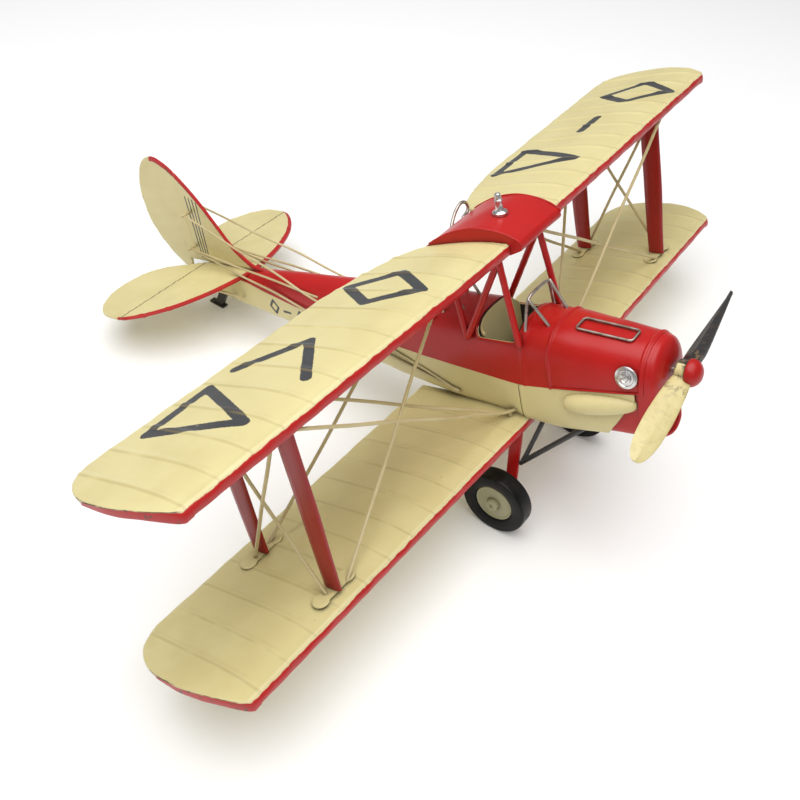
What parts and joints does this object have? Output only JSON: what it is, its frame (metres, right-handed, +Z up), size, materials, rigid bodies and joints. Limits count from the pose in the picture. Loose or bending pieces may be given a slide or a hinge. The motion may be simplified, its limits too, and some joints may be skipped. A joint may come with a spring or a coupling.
{
  "type": "biplane scale model",
  "caption": "Display model of a two-seat open-cockpit training biplane with wire-braced wings, a free-turning propeller and rolling wheels.",
  "frame": {"origin": "centre of the bounding box's base, on the ground the wheels and tail skid stand on", "axes": "nose towards -Y and pitched 16.2 degrees nose-up, port wing towards +X, +Z up"},
  "size_m": [0.4262, 0.3456, 0.1501],
  "materials": {
    "cream_paint": "satin",
    "red_paint": "satin",
    "black_paint": "satin",
    "bare_wire": "dull",
    "plated_fitting": "hammered",
    "tyre_rubber": "matt",
    "wheel_paint": "satin"
  },
  "bodies": {
    "airframe": {"upper_wing_port": "cream_paint", "lower_wing_port": "cream_paint", "upper_wing_starboard": "cream_paint", "lower_wing_starboard": "cream_paint", "center_tank": "red_paint", "tank_filler_cap": "plated_fitting", "tank_lifting_hook": "bare_wire", "fuselage_lower_shell": "cream_paint", "fuselage_top_deck": "red_paint", "front_cockpit_liner": "black_paint", "front_seat_back": "cream_paint", "rear_cockpit_liner": "black_paint", "cowl_top": "red_paint", "lower_nose": "red_paint", "chin_disc": "wheel_paint", "nose_cap": "red_paint", "side_panel_port": "cream_paint", "side_panel_starboard": "cream_paint", "cowl_side_cap": "plated_fitting", "hatch_wire_frame": "bare_wire", "front_windscreen_frame": "bare_wire", "rear_windscreen_frame": "bare_wire", "interplane_strut_front_port": "red_paint", "strut_foot_front_port": "cream_paint", "interplane_strut_rear_port": "red_paint", "strut_foot_rear_port": "cream_paint", "incidence_wires_port": "cream_paint", "flying_wires_port": "cream_paint", "landing_wires_port": "cream_paint", "cabane_frame_port": "red_paint", "interplane_strut_front_starboard": "red_paint", "strut_foot_front_starboard": "cream_paint", "interplane_strut_rear_starboard": "red_paint", "strut_foot_rear_starboard": "cream_paint", "incidence_wires_starboard": "cream_paint", "flying_wires_starboard": "cream_paint", "landing_wires_starboard": "cream_paint", "cabane_frame_starboard": "red_paint", "tailplane": "cream_paint", "fin_and_rudder": "cream_paint", "rudder_horn_upper": "cream_paint", "rudder_horn_lower": "cream_paint", "tail_wires_port": "cream_paint", "tailplane_bracket_port": "cream_paint", "tail_wires_starboard": "cream_paint", "tailplane_bracket_starboard": "cream_paint", "tail_skid": "black_paint", "axle_stub_port": "black_paint", "gear_leg_port": "red_paint", "gear_radius_rods_port": "black_paint", "axle_stub_starboard": "black_paint", "gear_leg_starboard": "red_paint", "gear_radius_rods_starboard": "black_paint"},
    "propeller_group": {"propeller": "cream_paint", "spinner": "red_paint", "propeller_shaft": "bare_wire"},
    "wheel_port": {"tyre_port": "tyre_rubber", "wheel_disc_port": "wheel_paint"},
    "wheel_starboard": {"tyre_starboard": "tyre_rubber", "wheel_disc_starboard": "wheel_paint"}
  },
  "joints": [
    {"name": "propeller_spin", "type": "hinge", "parent": "airframe", "child": "propeller_group", "pos_m": [0, -0.16402, 0.10298], "axis": [0, -0.9603, 0.279], "continuous": true},
    {"name": "wheel_port_spin", "type": "hinge", "parent": "airframe", "child": "wheel_port", "pos_m": [0.0406, -0.10727, 0.01693], "axis": [1, 0, 0], "continuous": true},
    {"name": "wheel_starboard_spin", "type": "hinge", "parent": "airframe", "child": "wheel_starboard", "pos_m": [-0.0406, -0.10727, 0.01693], "axis": [1, 0, 0], "continuous": true}
  ]
}
